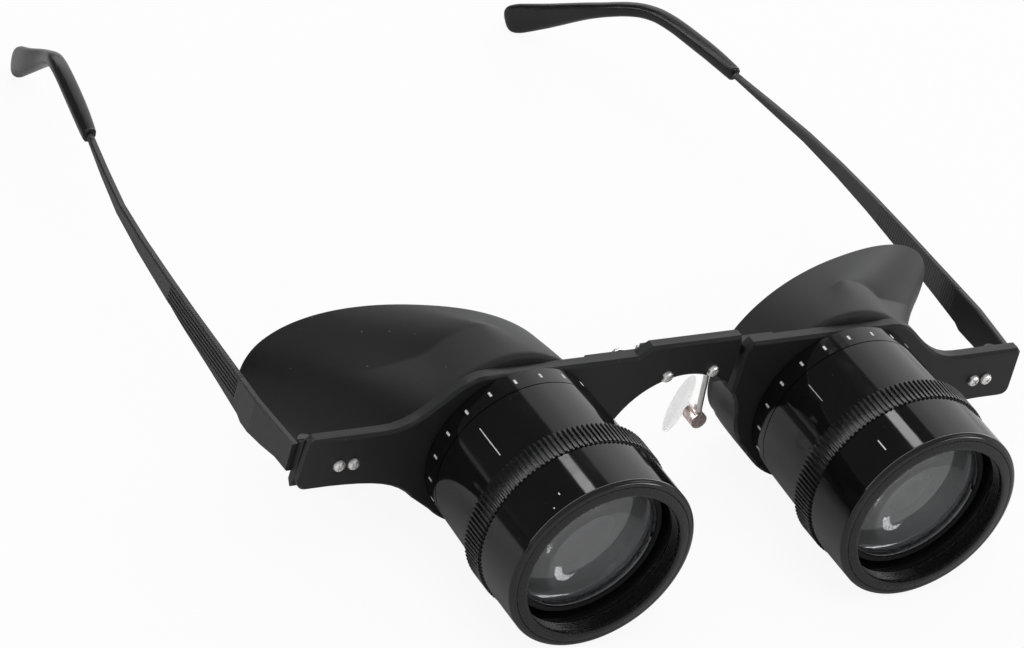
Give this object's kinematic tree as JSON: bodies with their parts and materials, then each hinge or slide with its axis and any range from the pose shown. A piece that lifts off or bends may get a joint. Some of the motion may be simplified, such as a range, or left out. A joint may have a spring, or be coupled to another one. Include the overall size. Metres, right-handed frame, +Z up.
{
  "type": "binocular glasses",
  "caption": "Spectacle-style binoculars: two focusing barrels on a sliding two-part frame with eye shields, nose pads and folding temples.",
  "frame": {"origin": "midway between the two sighting axes, in the plane of the frame's front face", "axes": "+X across the face, +Y from the frame to the ears, +Z up; the barrels point along -Y"},
  "size_m": [0.147, 0.1744, 0.038],
  "materials": {
    "frame_plastic": "satin black, moulded, with polished bevels",
    "barrel_gloss": "glossy black, moulded and polished",
    "ring_satin": "satin black, turned",
    "lens_glass": "polished and coated",
    "bright_ring": "dark anodised with a bright edge",
    "screw_steel": "bright nickel plate",
    "inner_steel": "bare",
    "insert_brass": "bare",
    "shield_rubber": "matte, soft",
    "temple_metal": "satin black coat",
    "sock_plastic": "half gloss, soft-touch",
    "arm_wire": "bright wire",
    "pad_box_metal": "plated, slightly warm",
    "pad_silicone": "clear silicone"
  },
  "bodies": {
    "left_half": {"left_half_frame": "frame_plastic", "bridge_guide_plate": "inner_steel", "bridge_screws": "screw_steel", "lock_insert": "insert_brass", "left_inner_tube": "barrel_gloss", "left_tube_nut": "ring_satin", "left_sleeve_retainer": "inner_steel", "left_eyepiece_cell": "ring_satin", "left_eye_lens": "lens_glass", "left_eye_lens_ring": "ring_satin", "left_eye_shield": "shield_rubber", "left_hinge_block": "frame_plastic", "left_hinge_screw": "screw_steel", "left_wing_screws": "screw_steel", "left_pad_arm": "arm_wire", "right_pad_arm": "arm_wire", "left_pad_box": "pad_box_metal", "right_pad_box": "pad_box_metal"},
    "right_half": {"right_half_frame": "frame_plastic", "right_inner_tube": "barrel_gloss", "right_tube_nut": "ring_satin", "right_sleeve_retainer": "inner_steel", "right_eyepiece_cell": "ring_satin", "right_eye_lens": "lens_glass", "right_eye_lens_ring": "ring_satin", "right_eye_shield": "shield_rubber", "right_hinge_block": "frame_plastic", "right_hinge_screw": "screw_steel", "right_wing_screws": "screw_steel"},
    "lock_screw": {"lock_screw": "screw_steel"},
    "left_focus_barrel": {"left_focus_sleeve": "barrel_gloss", "left_front_housing": "barrel_gloss", "left_front_ring": "ring_satin"},
    "left_objective": {"left_objective_cell": "ring_satin", "left_objective_lens": "lens_glass", "left_lens_retainer": "bright_ring", "left_drive_pin": "inner_steel"},
    "left_temple_arm": {"left_temple": "temple_metal", "left_ear_sock": "sock_plastic"},
    "left_pad": {"left_nose_pad": "pad_silicone"},
    "right_focus_barrel": {"right_focus_sleeve": "barrel_gloss", "right_front_housing": "barrel_gloss", "right_front_ring": "ring_satin"},
    "right_objective": {"right_objective_cell": "ring_satin", "right_objective_lens": "lens_glass", "right_lens_retainer": "bright_ring", "right_drive_pin": "inner_steel"},
    "right_temple_arm": {"right_temple": "temple_metal", "right_ear_sock": "sock_plastic"},
    "right_pad": {"right_nose_pad": "pad_silicone"}
  },
  "joints": [
    {"name": "pupil_distance_slide", "type": "slide", "parent": "left_half", "child": "right_half", "axis": [1, 0, 0], "range_m": [-0.001, 0.005]},
    {"name": "lock_screw_turn", "type": "hinge", "parent": "left_half", "child": "lock_screw", "pos_m": [-0.0123, 0.0045, 0.01235], "axis": [0, 1, 0], "range_deg": [0, 180]},
    {"name": "left_focus_turn", "type": "hinge", "parent": "left_half", "child": "left_focus_barrel", "pos_m": [-0.0325, -0.0149, 0], "axis": [0, -1, 0], "range_deg": [-90, 90]},
    {"name": "left_objective_slide", "type": "slide", "parent": "left_half", "child": "left_objective", "axis": [0, -1, 0], "range_m": [-0.00151, 0.00151]},
    {"name": "left_temple_fold", "type": "hinge", "parent": "left_half", "child": "left_temple_arm", "pos_m": [-0.0692, 0.005, -0.0004], "axis": [0, 0.0523, -0.9986], "range_deg": [0, 70], "deforming": ["left_eye_shield"]},
    {"name": "left_pad_rock", "type": "hinge", "parent": "left_half", "child": "left_pad", "pos_m": [-0.0104, 0.0076, -0.0056], "axis": [1, 0, 0], "range_deg": [-12, 12]},
    {"name": "right_focus_turn", "type": "hinge", "parent": "right_half", "child": "right_focus_barrel", "pos_m": [0.0325, -0.0149, 0], "axis": [0, -1, 0], "range_deg": [-90, 90]},
    {"name": "right_objective_slide", "type": "slide", "parent": "right_half", "child": "right_objective", "axis": [0, -1, 0], "range_m": [-0.00151, 0.00151]},
    {"name": "right_temple_fold", "type": "hinge", "parent": "right_half", "child": "right_temple_arm", "pos_m": [0.0692, 0.005, -0.0004], "axis": [0, 0.0523, 0.9986], "range_deg": [0, 70], "deforming": ["right_eye_shield"]},
    {"name": "right_pad_rock", "type": "hinge", "parent": "left_half", "child": "right_pad", "pos_m": [0.0104, 0.0076, -0.0056], "axis": [1, 0, 0], "range_deg": [-12, 12]}
  ],
  "couplings": [
    {"joint": "left_objective_slide", "follows": "left_focus_turn", "m_per_rad": -0.00095493},
    {"joint": "right_objective_slide", "follows": "right_focus_turn", "m_per_rad": -0.00095493}
  ]
}
